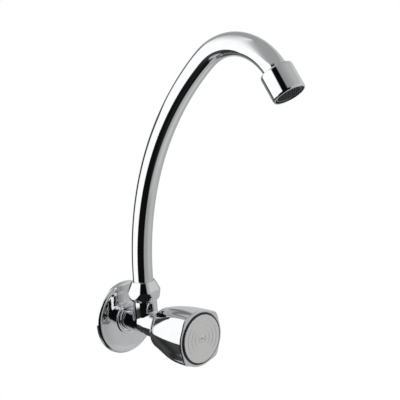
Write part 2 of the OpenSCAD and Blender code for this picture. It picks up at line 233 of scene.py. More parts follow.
# Deep blue moulded styrene, glossy.
DARK_BLUE = Finish("dark_blue_moulded_styrene", "dark_blue_plastic", "1E1B3A", "17152E", 0.0,
                   (0.12, 0.22), Pattern.MOULDED, grain_mm=1.5, relief_mm=0.004)
# Turned free-cutting brass with a light oxide tint.
RAW_BRASS = Finish("turned_brass", "raw_brass", "C8A25A", "A9823F", 1.0,
                   (0.22, 0.4), Pattern.MOULDED, grain_mm=0.8, relief_mm=0.004)
# Nitrile rubber from a matt mould.
RUBBER = Finish("moulded_nitrile_rubber", "black_rubber", "141415", "0B0B0C", 0.0,
                (0.5, 0.7), Pattern.MOULDED, grain_mm=0.5, relief_mm=0.01, specular=0.1)
# Natural nylon, slightly waxy.
NYLON = Finish("moulded_nylon", "white_nylon", "EAE7DE", "DEDACE", 0.0,
               (0.3, 0.45), Pattern.MOULDED, grain_mm=1.2, relief_mm=0.005)
# Red vulcanised fibre, pressed in sheets.
FIBRE = Finish("pressed_vulcanised_fibre", "red_fibre", "8E3A2C", "6E2A20", 0.0,
               (0.55, 0.75), Pattern.PRESSED, grain_mm=0.6, relief_mm=0.02)
# Drawn stainless wire and stamped spring steel.
STEEL = Finish("drawn_stainless_steel", "steel", "B9BABB", "9C9D9F", 1.0,
               (0.22, 0.38), Pattern.PRESSED, grain_mm=0.5, relief_mm=0.003)
# Woven stainless wire, dulled by water.
DULL_STEEL = Finish("woven_stainless_wire", "steel", "737476", "5C5D5F", 1.0,
                    (0.3, 0.45), Pattern.PRESSED, grain_mm=0.5, relief_mm=0.003)
# Dark acetal from a matt mould.
ACETAL = Finish("moulded_dark_acetal", "grey_plastic", "3A3B3D", "2C2D2F", 0.0,
                (0.35, 0.5), Pattern.MOULDED, grain_mm=0.8, relief_mm=0.006)

CARRIED = {
    "bonnet": RAW_BRASS, "bonnet_gasket": FIBRE, "lower_slip_ring": NYLON, "upper_slip_ring": NYLON,
    "thrust_washer": NYLON, "valve_plunger": RAW_BRASS, "seat_washer": RUBBER, "washer_screw": RAW_BRASS,
    "spindle": RAW_BRASS, "spindle_o_rings": RUBBER, "spindle_clip": STEEL, "spline_bush": NYLON,
    "handle_screw": STEEL, "spout_tail": RAW_BRASS, "tail_o_rings": RUBBER, "outlet_ferrule": RAW_BRASS,
    "aerator_gasket": RUBBER, "aerator_insert": ACETAL,
}


@dataclass
class Surface:
    """Points and faces of one mesh while it is put together.

    Attributes:
        points: rows of x, y and z in millimetres.
        faces: tuples of point numbers.
    """

    points: np.ndarray
    faces: list[tuple[int, ...]]

    def join(self, other: Surface) -> Surface:
        """Adds another surface's points and faces.

        Args:
            other: the surface to add.

        Returns:
            This surface.
        """
        shift = len(self.points)
        self.points = np.vstack([self.points, other.points])
        self.faces += [tuple(i + shift for i in f) for f in other.faces]
        return self

    def place(self, matrix: Matrix) -> Surface:
        """Moves the points by a matrix in millimetres.

        Args:
            matrix: the 4 by 4 placement.

        Returns:
            This surface.
        """
        m = np.array(matrix)
        self.points = self.points @ m[:3, :3].T + m[:3, 3]
        return self

    def to_bmesh(self) -> bmesh.types.BMesh:
        """Gives the surface as a mesh to cut, still in millimetres.

        Returns:
            The mesh, which the caller frees.
        """
        build = bmesh.new()
        points = [build.verts.new(row) for row in self.points]
        for f in self.faces:
            build.faces.new([points[i] for i in f])
        return build

    def to_object(self, name: str, finish: Finish) -> bpy.types.Object:
        """Makes a smooth-shaded object in metres.

        Args:
            name: the piece's name.
            finish: the piece's finish.

        Returns:
            The object, linked to the scene.
        """
        mesh = bpy.data.meshes.new(name)
        mesh.from_pydata((self.points * MM).tolist(), [], self.faces)
        mesh.validate()
        mesh.shade_smooth()
        mesh.materials.append(finish.material())
        return add_object(name, mesh)


def stack(radii: np.ndarray, stations: Sequence[float], loop: bool) -> Surface:
    """Joins rings of points around the local z axis.

    Args:
        radii: one row per ring, one radius per step around it.
        stations: the rings' heights.
        loop: True if the last ring joins the first, so that the skin closes on itself.

    Returns:
        The skin, with its outside to the right of the way that the rings go.
    """
    rows, steps = radii.shape
    angles = np.linspace(0, 2 * math.pi, steps, endpoint=False)
    z = np.repeat(np.asarray(stations, dtype=float)[:, None], steps, axis=1)
    points = np.stack([radii * np.cos(angles), radii * np.sin(angles), z], axis=2).reshape(-1, 3)
    faces = []
    for j in range(rows if loop else rows - 1):
        k = (j + 1) % rows
        for i in range(steps):
            n = (i + 1) % steps
            faces.append((j * steps + i, j * steps + n, k * steps + n, k * steps + i))
    return Surface(points, faces)


def rounded(corners: Sequence[tuple[float, float, float]], parts: int = 6) -> list[tuple[float, float]]:
    """Rounds the corners of an outline.

    Args:
        corners: radius, station and rounding radius of each corner; the ends of an open outline take 0.
        parts: steps in each rounding.

    Returns:
        The outline's points.
    """
    outline: list[tuple[float, float]] = []
    count = len(corners)
    for i, (r, z, fillet) in enumerate(corners):
        here = Vector((r, z))
        to_last = Vector(corners[i - 1][:2]) - here
        to_next = Vector(corners[(i + 1) % count][:2]) - here
        if fillet <= 0:
            outline.append((r, z))
            continue
        half = to_last.angle(to_next) / 2
        reach = fillet / math.tan(half)
        middle = (to_last.normalized() + to_next.normalized()).normalized()
        centre = here + middle * (fillet / math.sin(half))
        start = here + to_last.normalized() * reach - centre
        end = here + to_next.normalized() * reach - centre
        turn = start.angle_signed(end)
        for k in range(parts + 1):
            arm = start.copy()
            arm.rotate(Matrix.Rotation(-turn * k / parts, 2))
            outline.append(tuple(centre + arm))
    return outline


def lathe(corners: Sequence[tuple[float, float, float]], steps: int, parts: int = 6) -> Surface:
    """Turns a closed outline with rounded corners around the local z axis.

    Args:
        corners: radius, station and rounding radius of each corner.
        steps: points around the axis.
        parts: steps in each rounding.

    Returns:
        The turned skin.
    """
    outline = np.array(rounded(corners, parts))
    return stack(np.repeat(outline[:, :1], steps, axis=1), outline[:, 1], loop=True)


def even_normals(piece: bpy.types.Object) -> None:
    """Lets large faces set the shading beside narrow roundings."""
    weighted = piece.modifiers.new("even_normals", "WEIGHTED_NORMAL")
    weighted.keep_sharp = True


def stand_for(piece: bpy.types.Object, node: str, body: str) -> None:
    """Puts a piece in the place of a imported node.

    Args:
        piece: the new piece.
        node: the node that it hides.
        body: the body that it moves with.
    """
    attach(piece, body)
    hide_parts(node)
    LOG.info("%s stands for %s on %s", piece.name, node, body)


def set_skin(skin: Surface, node: str, body: str, finish: Finish) -> None:
    """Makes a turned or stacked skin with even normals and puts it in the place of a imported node.

    Args:
        skin: the skin in the frame's axes.
        node: the node that it hides and takes its name from.
        body: the body that it moves with.
        finish: its finish.
    """
    piece = skin.to_object(f"{node}_skin", finish)
    even_normals(piece)
    stand_for(piece, node, body)


@dataclass
class Body:
    """The cast body with its inlet thread, and the flange against the wall."""

    spout_axis: float = 26.0
    neck_r: float = 9.4
    barrel_r: float = 10.0
    barrel_end: float = 49.0
    boss_r: float = 9.6
    boss_h: float = 19.5
    boss_crown: float = 0.2
    blend: float = 2.2
    thread_r: float = 10.4775
    thread_depth: float = 1.16
    thread_pitch: float = 1.814
    thread_len: float = 18.0
    inlet_r: float = 6.5
    seat_r: float = 5.0
    flange_r: float = 30.0
    flange_h: float = 4.6
    flange_edge: float = 3.2
    flange_dome: float = 1.1
    flange_wall: float = 1.2
    bead_w: float = 2.35
    bead_h: float = 1.2
    swell_start: float = 25.0
    swell_len: float = 12.0
    boss_ball: float = 2.0
    crown_start: float = 11.0
    neck_start: float = 3.4
    seat_front: float = 17.5
    seat_back: float = 13.0
    lead_in: float = 1.2
    run_out: float = 0.4
    voxel: float = 0.45
    draws: int = 12

    def field_at(self, p: np.ndarray) -> np.ndarray:
        """Measures how far points lie outside the casting, with its two barrels blended into one another.

        Args:
            p: rows of x, station and z.

        Returns:
            One distance for each point.
        """
        swell = smooth(np.clip((p[:, 1] - self.swell_start) / self.swell_len, 0, 1))
        bar_r = self.neck_r + (self.barrel_r - self.neck_r) * swell
        bar = np.hypot(p[:, 0], p[:, 2]) - bar_r
        below = np.minimum(p[:, 2] - self.boss_ball, 0)
        crown = np.clip((p[:, 2] - self.crown_start) / (self.boss_h - self.crown_start), 0, 1)
        boss_r = self.boss_r - self.boss_crown * crown ** 2
        boss = np.sqrt(p[:, 0] ** 2 + (p[:, 1] - self.spout_axis) ** 2 + below ** 2) - boss_r
        near = np.maximum(self.blend - np.abs(bar - boss), 0) / self.blend
        return np.minimum(bar, boss) - near * near * self.blend / 4

    def slope_at(self, p: np.ndarray) -> np.ndarray:
        """Gives the direction out of the casting at each point.

        Args:
            p: rows of x, station and z.

        Returns:
            Unit rows.
        """
        step = 1e-3
        rows = [(self.field_at(p + d) - self.field_at(p - d)) / (2 * step) for d in np.eye(3) * step]
        out = np.stack(rows, axis=1)
        return out / np.linalg.norm(out, axis=1, keepdims=True)

    def rough_casting(self) -> bpy.types.Object:
        """Makes the two barrels as rough rods and meshes them evenly.

        Returns:
            A scratch object with an even mesh, x, station and z in metres.
        """
        build = bmesh.new()
        bar_back = -2.0
        bar_over = 4.0
        boss_over = 5.0
        bar_len = self.barrel_end + bar_over - bar_back
        boss_len = self.boss_h + boss_over
        bar = (Matrix.Translation((0, (bar_back + bar_len / 2) * MM, 0))
               @ Matrix.Rotation(math.pi / 2, 4, "X"))
        boss = Matrix.Translation((0, self.spout_axis * MM, boss_len / 2 * MM))
        for place, r, depth in ((bar, self.barrel_r, bar_len), (boss, self.boss_r, boss_len)):
            bmesh.ops.create_cone(build, cap_ends=True, segments=96, radius1=r * MM, radius2=r * MM,
                                  depth=depth * MM, matrix=place)
        mesh = bpy.data.meshes.new("rough_casting")
        build.to_mesh(mesh)
        build.free()
        rough = add_object("rough_casting", mesh)
        remesh = rough.modifiers.new("even", "REMESH")
        remesh.mode = "VOXEL"
        remesh.voxel_size = self.voxel * MM
        return rough

    def casting_skin(self) -> tuple[Surface, np.ndarray]:
        """Draws the even mesh onto the blended casting and trims its three hidden ends.

        Returns:
            The skin in millimetres in the frame's axes, and the direction out of it at each point.
        """
        rough = self.rough_casting()
        even = rough.evaluated_get(bpy.context.evaluated_depsgraph_get()).to_mesh()
        p = np.zeros(len(even.vertices) * 3)
        even.vertices.foreach_get("co", p)
        p = p.reshape(-1, 3) / MM
        faces = [tuple(f.vertices) for f in even.polygons]
        bpy.data.objects.remove(rough)
        for _ in range(self.draws):
            p = p - self.slope_at(p) * self.field_at(p)[:, None]
        build = Surface(p, faces).to_bmesh()
        cuts = (((0, self.neck_start, 0), (0, -1, 0)), ((0, self.barrel_end, 0), (0, 1, 0)),
                ((0, 0, self.boss_h), (0, 0, 1)))
        for at, away in cuts:
            geom = build.verts[:] + build.edges[:] + build.faces[:]
            bmesh.ops.bisect_plane(build, geom=geom, dist=ON_PLANE, plane_co=at, plane_no=away,
                                   clear_outer=True)
        build.verts.index_update()
        p = np.array([v.co[:] for v in build.verts])
        faces = [tuple(v.index for v in f.verts) for f in build.faces]
        build.free()
        mirror = np.diag([1, -1, 1])
        return Surface(p @ mirror, [f[::-1] for f in faces]), self.slope_at(p) @ mirror

    def spigot(self) -> Surface:
        """Cuts the inlet's helical thread and bore, with the collar that the flange sits on.

        Returns:
            The spigot, local z out from the wall.
        """
        steps = 96
        fine = self.thread_pitch / 12
        first = -self.thread_len + self.lead_in
        top = np.arange(first, -self.run_out, fine)
        angles = np.linspace(0, 1, steps, endpoint=False)
        phase = (top[:, None] / self.thread_pitch - angles[None, :]) % 1
        crest = 2.0
        flank = 5.2
        tooth = np.clip(crest - np.abs(phase - 0.5) * flank, 0, 1)
        fade = np.clip(top - first, 0, 1) * np.clip(-self.run_out - top, 0, 1)
        root = self.thread_r - self.thread_depth
        thread = root + self.thread_depth * tooth * fade[:, None]
        thread[-1] = root
        end_r = root - 0.04
        inner = rounded([(self.seat_r, self.seat_front, 0), (self.seat_r, self.seat_back, 0),
                         (self.inlet_r, self.seat_back, 0), (self.inlet_r, -self.thread_len, 0.4),
                         (end_r, -self.thread_len, 0.3), (end_r, first - 0.1, 0)])
        collar = self.thread_r - 0.25
        collar_end = self.flange_h - 0.6
        outer = rounded([(root, -self.run_out + 0.05, 0), (collar, 0, 0), (collar, collar_end, 0.4),
                         (self.neck_r - 0.3, collar_end, 0)])
        radii = np.vstack([np.repeat(np.array(inner)[:, :1], steps, axis=1), thread,
                           np.repeat(np.array(outer)[:, :1], steps, axis=1)])
        stations = [*np.array(inner)[:, 1], *top, *np.array(outer)[:, 1]]
        return stack(radii, stations, loop=False)

    def build(self) -> None:
        """Makes the casting and the flange and puts them in place."""
        skin, out = self.casting_skin()
        spigot = self.spigot().place(OUTWARD)
        own = len(skin.points)
        piece = skin.join(spigot).to_object("body_casting_skin", CHROMED_BRASS)
        normals = np.zeros(len(piece.data.vertices) * 3)
        piece.data.vertex_normals.foreach_get("vector", normals)
        normals = normals.reshape(-1, 3)
        normals[:own] = out
        piece.data.normals_split_custom_set_from_vertices(normals.tolist())
        stand_for(piece, "body_casting", "tap_body")
        self.flange()

    def flange(self) -> None:
        """Spins the flange: a shallow cup with a rounded edge and a bead around its hole."""
        hole = self.thread_r + 0.12
        face = self.flange_h - 0.1
        bead_top = self.flange_h + self.bead_h
        back = self.flange_h - 1.8
        floor = self.flange_h - 0.5 - self.flange_wall
        inner = hole + self.bead_w + 0.25
        outer = self.flange_r - self.flange_edge
        lip = self.flange_r - self.flange_wall
        dome = [(inner + (outer - inner) * t, face - self.flange_dome * t * t, 0.05)
                for t in np.linspace(1, 0, 25)]
        edge = dome[0][1] - 0.15
        corners = [(self.flange_r, 0, 0.15), (self.flange_r, edge, self.flange_edge), *dome[1:-1],
                   (inner, face, 0.5), (hole + self.bead_w, bead_top, 0.9), (hole, bead_top, 0.9),
                   (hole, back, 0.1), (hole + 2, back, 0.2), (outer, floor, 1.5), (lip, floor, 1.2),
                   (lip, 0, 0.15)]
        skin = lathe(corners, steps=192, parts=10).place(OUTWARD)
        set_skin(skin, "wall_flange", "tap_body", CHROMED_BRASS)


@dataclass
class SpoutNut:
    """The spout nut: a band, a cone above it, four leaning flats and four facets between them."""

    spout_axis: float = 26.0
    foot: float = 19.5
    height: float = 15.6
    belt_h: float = 3.2
    cone_h: float = 8.1
    belt_r: float = 13.3
    belt_low_r: float = 13.1
    belt_round: float = 0.6
    foot_r: float = 10.5
    top_r: float = 9.4
    hole_r: float = 8.12
    thread_r: float = 8.65
    roof: float = 2.5
    flat_top: float = 8.7
    flat_knee_r: float = 11.7
    flat_knee: float = 7.1
    flat_len: float = 13.1
    facet_r: float = 12.8
    facet_lean: float = 12.5
    turn: float = 6.0
    edge: float = 0.18
    crease_angle: float = 4.0
    flat_area: float = 8.0

    def planes(self, top: float) -> list[tuple[Vector, Vector]]:
        """Lists the planes that cut the flats and the facets between them.

        Args:
            top: the height of the nut's top.

        Returns:
            A point on each plane, and the way towards what it cuts off.
        """
        upper = math.atan2(self.flat_knee_r - self.flat_top, self.flat_knee)
        lower = math.atan2(self.belt_r - self.flat_knee_r, self.flat_len - self.flat_knee)
        knee = Vector((self.flat_knee_r, 0, top - self.flat_knee))
        facet = Vector((self.facet_r, 0, top - self.cone_h))
        inward = math.radians(-self.facet_lean)
        found = []
        for quarter in range(4):
            for lean, offset, at in ((upper, 0, knee), (lower, 0, knee), (inward, 45, facet)):
                spin = Matrix.Rotation(math.radians(self.turn + 90 * quarter + offset), 3, "Z")
                found.append((spin @ at, spin @ Vector((math.cos(lean), 0, math.sin(lean)))))
        return found

    def build(self) -> None:
        """Turns the blank, cuts it, breaks its edges and puts the nut in place."""
        top = self.foot + self.height
        roof = top - self.roof
        sink_w = 0.35
        sink_h = 0.8
        corners = [(self.foot_r, self.foot, 0.2),
                   (self.belt_low_r, self.foot + self.belt_h, self.belt_round),
                   (self.belt_r, top - self.cone_h, self.belt_round),
                   (self.top_r, top, 0.25), (self.hole_r + sink_w, top, 0.1),
                   (self.hole_r, top - sink_h, 0.1), (self.hole_r, roof, 0),
                   (self.thread_r, roof, 0), (self.thread_r, self.foot, 0.1)]
        build = lathe(corners, steps=192, parts=10).to_bmesh()
        near = 0.02
        for at, away in self.planes(top):
            outer = [f for f in build.faces if f.calc_center_median().xy.length > self.thread_r + near
                     or f.calc_center_median().z > top - near]
            geom = set(outer) | {e for f in outer for e in f.edges} | {v for f in outer for v in f.verts}
            cut = bmesh.ops.bisect_plane(build, geom=list(geom), dist=ON_PLANE, plane_co=at, plane_no=away,
                                         clear_outer=True)
            rim = [e for e in cut["geom_cut"] if isinstance(e, bmesh.types.BMEdge)]
            bmesh.ops.edgeloop_fill(build, edges=rim)
        creases = [e for e in build.edges if len(e.link_faces) == 2
                   and e.calc_face_angle(0) > math.radians(self.crease_angle)
                   and max(f.calc_area() for f in e.link_faces) > self.flat_area]
        bmesh.ops.bevel(build, geom=creases, offset=self.edge, segments=3, profile=0.6, affect="EDGES",
                        clamp_overlap=True)
        bmesh.ops.recalc_face_normals(build, faces=build.faces[:])
        bmesh.ops.transform(build, matrix=Matrix.Translation((0, -self.spout_axis, 0)), verts=build.verts[:])
        bmesh.ops.scale(build, vec=(MM, MM, MM), verts=build.verts[:])
        mesh = bpy.data.meshes.new("spout_nut_skin")
        build.to_mesh(mesh)
        build.free()
        mesh.shade_smooth()
        mesh.materials.append(CHROMED_BRASS.material())
        piece = add_object("spout_nut_skin", mesh)
        even_normals(piece)
        stand_for(piece, "spout_nut", "tap_body")


@dataclass
class Spout:
    """The bent tube and the aerator at its end."""

    spout_axis: float = 26.0
    tube_r: float = 8.0
    tube_wall: float = 1.0
    foot: float = 31.1
    rise_start: float = 34.0
    rise_r: float = 216.0
    rise_angle: float = 52.5
    crook_r: float = 43.5
    crook_angle: float = 94.0
    tube_end: float = 6.0
    ease_len: float = 14.0
    settle_len: float = 60.0
    shell_r: float = 11.2
    shell_len: float = 16.5
    shoulder: float = 2.5
    cup_in: float = 1.05
    cup_floor: float = 0.6
    cup_end: float = 9.3
    bore_in: float = 2.15
    mouth_in: float = 1.2
    mouth_depth: float = 1.1
    ring_h: float = 0.6
    screen_depth: float = 1.5
    screen_h: float = 0.8
    weave_h: float = 0.35
    wire_r: float = 0.14
    wire_pitch: float = 0.95

    def outlet(self) -> Matrix:
        """Gives the placement of the outlet axis, from the end of the crook.

        Returns:
            A matrix in millimetres whose z runs out of the mouth.
        """
        place = Matrix.Translation((0, -self.spout_axis, self.rise_start))
        for r, a in ((self.rise_r, self.rise_angle), (self.crook_r, self.crook_angle)):
            place = (place @ Matrix.Translation((0, -r, 0)) @ Matrix.Rotation(math.radians(a), 4, "X")
                     @ Matrix.Translation((0, r, 0)))
        return place

    def path(self) -> tuple[np.ndarray, np.ndarray]:
        """Walks along the tube's centreline, easing from the long bend into the crook.

        Returns:
            Points as rows of y and z, and the heading's angle from upright at each.
        """
        legs = [(self.rise_start - self.foot, 0.0),
                (self.rise_r * math.radians(self.rise_angle), 1 / self.rise_r),
                (self.crook_r * math.radians(self.crook_angle), 1 / self.crook_r),
                (self.tube_end, 0.0)]
        ends = np.cumsum([length for length, _ in legs])
        bends = np.array([curve for _, curve in legs])
        fine = 0.05
        s = np.arange(0, ends[-1] + fine / 2, fine)
        bend = bends[np.minimum(np.searchsorted(ends, s), len(legs) - 1)]
        u = np.clip((s - ends[1]) / self.ease_len + 0.5, 0, 1)
        inside = (u > 0) & (u < 1)
        bend[inside] = (bends[1] + (bends[2] - bends[1]) * smooth(u))[inside]
        angle = np.concatenate([[0], np.cumsum(bend[:-1] * fine)])
        angle *= math.radians(self.rise_angle + self.crook_angle) / angle[-1]
        y = -self.spout_axis - np.concatenate([[0], np.cumsum(np.sin(angle[:-1]) * fine)])
        z = self.foot + np.concatenate([[0], np.cumsum(np.cos(angle[:-1]) * fine)])
        end = self.outlet() @ Vector((0, 0, self.tube_end))
        along = np.clip((s - ends[1]) / self.settle_len + 0.5, 0, 1)
        line = np.stack([y + (end.y - y[-1]) * along, z + (end.z - z[-1]) * along], axis=1)
        stride = 20
        keep = np.unique(np.append(np.arange(0, len(s), stride), len(s) - 1))
        return line[keep], angle[keep]

    def tube(self) -> None:
        """Sweeps the tube, outside and bore, and puts it in place."""
        line, angle = self.path()
        steps = 96
        turns = np.linspace(0, 2 * math.pi, steps, endpoint=False)
        rows = []
        for r, order in ((self.tube_r, 1), (self.tube_r - self.tube_wall, -1)):
            across = r * np.cos(turns)
            side = r * np.sin(turns)
            for (y, z), a in list(zip(line, angle))[::order]:
                rows.append(np.stack([across, y + side * math.cos(a), z + side * math.sin(a)], axis=1))
        base = stack(np.ones((len(rows), steps)), np.zeros(len(rows)), loop=True)
        piece = Surface(np.vstack(rows), base.faces).to_object("spout_tube_skin", CHROMED_BRASS)
        stand_for(piece, "spout_tube", "spout")

    def shell(self) -> None:
        """Turns the aerator's shell, with its shoulder, lip and stepped bore, and the ring in its mouth."""
        cup = self.shell_r - self.cup_in
        bore = self.shell_r - self.bore_in
        mouth = self.shell_r - self.mouth_in
        step = self.shell_len - self.mouth_depth
        hole = self.tube_r + 0.2
        back = -self.shoulder
        corners = [(hole, back, 0.1), (self.shell_r - 0.2, back + 0.8, 0.6), (self.shell_r, back + 1.8, 0.5),
                   (self.shell_r, self.shell_len - 1.3, 1.2), (self.shell_r - 0.4, self.shell_len, 0.7),
                   (mouth, self.shell_len, 0.3), (mouth, step, 0.05), (bore, step, 0.05),
                   (bore, self.cup_end, 0.05), (cup, self.cup_end, 0.05), (cup, self.cup_floor, 0.05),
                   (hole, self.cup_floor, 0.05)]
        shell = lathe(corners, steps=144, parts=8).place(self.outlet())
        set_skin(shell, "aerator_shell", "spout", CHROMED_BRASS)
        inner = bore - 0.2
        outer = mouth - 0.04
        top = step + self.ring_h
        corners = [(inner, step, 0.1), (outer, step, 0.1), (outer, top, 0.2), (inner, top, 0.2)]
        ring = lathe(corners, steps=96).place(self.outlet())
        set_skin(ring, "mouth_ring", "spout", RUBBER)

    def wire(self, start: np.ndarray, along: np.ndarray, length: float, phase: float) -> Surface:
        """Bends one wire of the screen over and under the wires that cross it.

        Args:
            start: the wire's first point.
            along: the unit vector along it.
            length: the wire's length.
            phase: where the weave starts, in turns.

        Returns:
            The wire as a six-sided tube.
        """
        sides = 6
        per_pitch = 4
        up = np.array([0.0, 0.0, 1.0])
        count = max(int(length / self.wire_pitch * per_pitch), 2)
        t = np.linspace(0, length, count + 1)
        lift = self.wire_r * np.cos(math.pi * (t / self.wire_pitch) + math.pi * phase)
        centre = start + along * t[:, None] + up * lift[:, None]
        across = np.cross(along, up)
        turns = np.linspace(0, 2 * math.pi, sides, endpoint=False)
        section = self.wire_r * (np.cos(turns)[:, None] * across + np.sin(turns)[:, None] * up)
        base = stack(np.ones((len(t), sides)), np.zeros(len(t)), loop=False)
        return Surface((centre[:, None, :] + section[None]).reshape(-1, 3), base.faces)

    def screen(self) -> None:
        """Weaves the screen's wires inside its rim."""
        rim_r = self.shell_r - self.bore_in - 0.3
        low = self.shell_len - self.screen_depth
        top = low + self.screen_h
        mesh_r = rim_r - 0.3
        lip = rim_r - 0.5
        rim = lathe([(lip, low, 0.05), (rim_r, low, 0.05), (rim_r, top, 0.2), (lip, top, 0.2)], steps=96)
        rim_faces = len(rim.faces)
        reach = int(mesh_r / self.wire_pitch)
        axes = np.eye(3)
        level = axes[2] * (low + self.weave_h)
        for way in range(2):
            along = axes[1 - way]
            across = axes[way]
            for k in range(-reach, reach + 1):
                half = math.sqrt(max(mesh_r ** 2 - (k * self.wire_pitch) ** 2, 0.01))
                start = across * k * self.wire_pitch - along * half + level
                rim.join(self.wire(start, along, 2 * half, -half / self.wire_pitch + k + way))
        piece = rim.place(self.outlet()).to_object("aerator_screen_weave", DULL_STEEL)
        piece.data.materials.append(STEEL.material())
        for face in piece.data.polygons[:rim_faces]:
            face.material_index = 1
        stand_for(piece, "aerator_screen", "spout")

    def build(self) -> None:
        """Makes the tube, the aerator's shell with its ring, and the screen."""
        self.tube()
        self.shell()
        self.screen()


@dataclass
class Knob:
    """The four-lobed knob with the ring and disc in its face."""

    back: float = 47.5
    front: float = 87.4
    back_r: float = 16.6
    front_r: float = 21.7
    lobe_h: float = 1.9
    lobe_angle: float = 40.0
    lobe_sharp: float = 5.0
    lobe_start: float = 4.0
    lobe_full: float = 0.7
    flare_full: float = 0.85
    back_round: float = 1.2
    rim_round: float = 1.4
    opening_r: float = 14.5
    wall: float = 2.4
    back_wall: float = 2.2
    web_back: float = 72.0
    hub_back: float = 66.2
    hub_r: float = 8.6
    socket_floor: float = 76.2
    socket_r: float = 5.6
    pocket_floor: float = 78.0
    screw_r: float = 2.2
    ring_r: float = 19.75
    ring_t: float = 1.8
    ring_hole: float = 15.7
    ring_front: float = 86.2
    disc_r: float = 18.3
    disc_t: float = 1.0
    disc_front: float = 88.4
    plug_end: float = 81.0
    plug_wall: float = 1.5
    groove_depth: float = 0.12
    grooves: int = 4
    steps: int = 240

    def radius(self, d: np.ndarray | float) -> np.ndarray | float:
        """Gives the knob's radius between its lobes.

        Args:
            d: the distance from the wall, or several.

        Returns:
            The radius at each.
        """
        run = self.flare_full * (self.front - self.back)
        u = np.clip((d - self.back - self.back_round) / run, None, 1)
        return self.back_r + (self.front_r - self.back_r) * (1 - (1 - u) ** 2)

    def lobes(self, d: float) -> np.ndarray:
        """Gives the lobes' height around the knob.

        Args:
            d: the distance from the wall.

        Returns:
            One height for each step around the knob.
        """
        run = self.lobe_full * (self.front - self.back) - self.lobe_start
        u = min(max((d - self.back - self.lobe_start) / run, 0), 1)
        turn = np.linspace(0, 2 * math.pi, self.steps, endpoint=False) - math.radians(self.lobe_angle)
        return self.lobe_h * smooth(u) * ((1 + np.cos(4 * turn)) / 2) ** self.lobe_sharp

    def skin_rows(self) -> tuple[list[np.ndarray], list[float]]:
        """Lists the rings of the knob's skin, out along the outside and back through its hollows.

        Returns:
            The radii around each ring, and the rings' stations.
        """
        shoulder = self.back + self.back_round
        edge = self.front - self.rim_round
        rows: list[np.ndarray] = []
        stations: list[float] = []

        def add(d: float, r: float | np.ndarray) -> None:
            """Adds a ring of one radius, or of one for each step."""
            rows.append(np.broadcast_to(np.asarray(r, dtype=float), (self.steps,)).copy())
            stations.append(d)

        quarter = np.radians(np.linspace(0, 90, 9))
        broken = 0.3
        add(self.back, self.opening_r + broken)
        for t in quarter:
            add(shoulder - self.back_round * math.cos(t), self.back_r - self.back_round * (1 - math.sin(t)))
        for d in np.linspace(shoulder, edge, 64)[1:]:
            add(d, self.radius(d) + self.lobes(d))
        rim = self.radius(edge) + self.lobes(edge)
        for t in quarter[1:]:
            add(edge + self.rim_round * math.sin(t), rim - self.rim_round * (1 - math.cos(t)))
        seat = self.ring_r + 0.05
        ring_back = self.ring_front - self.ring_t
        for d, r in ((self.front, seat + 0.2), (self.front - 0.2, seat), (ring_back, seat),
                     (ring_back, self.ring_hole), (self.pocket_floor, self.ring_hole),
                     (self.pocket_floor, self.screw_r), (self.socket_floor, self.screw_r),
                     (self.socket_floor, self.socket_r), (self.hub_back, self.socket_r),
                     (self.hub_back, self.hub_r), (self.web_back, self.hub_r)):
            add(d, r)
        hollow_end = self.back + self.back_wall
        for d in np.linspace(self.web_back, hollow_end, 12):
            add(d, self.radius(d) - self.wall)
        add(hollow_end, self.opening_r)
        add(self.back + broken, self.opening_r)
        return rows, stations

    def build(self) -> None:
        """Makes the knob, its dark ring and its disc and puts them in place."""
        rows, stations = self.skin_rows()
        knob = stack(np.array(rows), stations, loop=True).place(OUTWARD)
        set_skin(knob, "handle_knob", "handle", CHROMED_ABS)
        low = self.ring_front - self.ring_t
        corners = [(self.ring_hole, low, 0.1), (self.ring_r, low, 0.1), (self.ring_r, self.ring_front, 0.2),
                   (self.ring_hole, self.ring_front, 0.1)]
        set_skin(lathe(corners, steps=160).place(OUTWARD), "index_ring", "handle", DARK_BLUE)
        self.disc()

    def disc(self) -> None:
        """Turns the disc with its shallow rings and its plug."""
        face = self.disc_front
        plug = self.ring_hole - 0.05
        bore = plug - self.plug_wall
        floor = self.ring_front - self.disc_t
        centre = 0.02
        pitch = 0.2 * self.disc_r
        groove = ((-0.22, 0), (-0.1, self.groove_depth), (0.1, self.groove_depth), (0.22, 0))
        corners = [(centre, face, 0)]
        for k in range(1, self.grooves + 1):
            corners += [(pitch * k + side, face - depth, 0.05) for side, depth in groove]
        corners += [(self.disc_r, face, 0.25), (self.disc_r, self.ring_front, 0.05),
                    (plug, self.ring_front, 0.05), (plug, self.plug_end, 0.1), (bore, self.plug_end, 0.1),
                    (bore, floor, 0.1), (centre, floor, 0)]
        skin = lathe(corners[::-1], steps=160, parts=4).place(OUTWARD)
        set_skin(skin, "index_disc", "handle", SATIN_DISC)


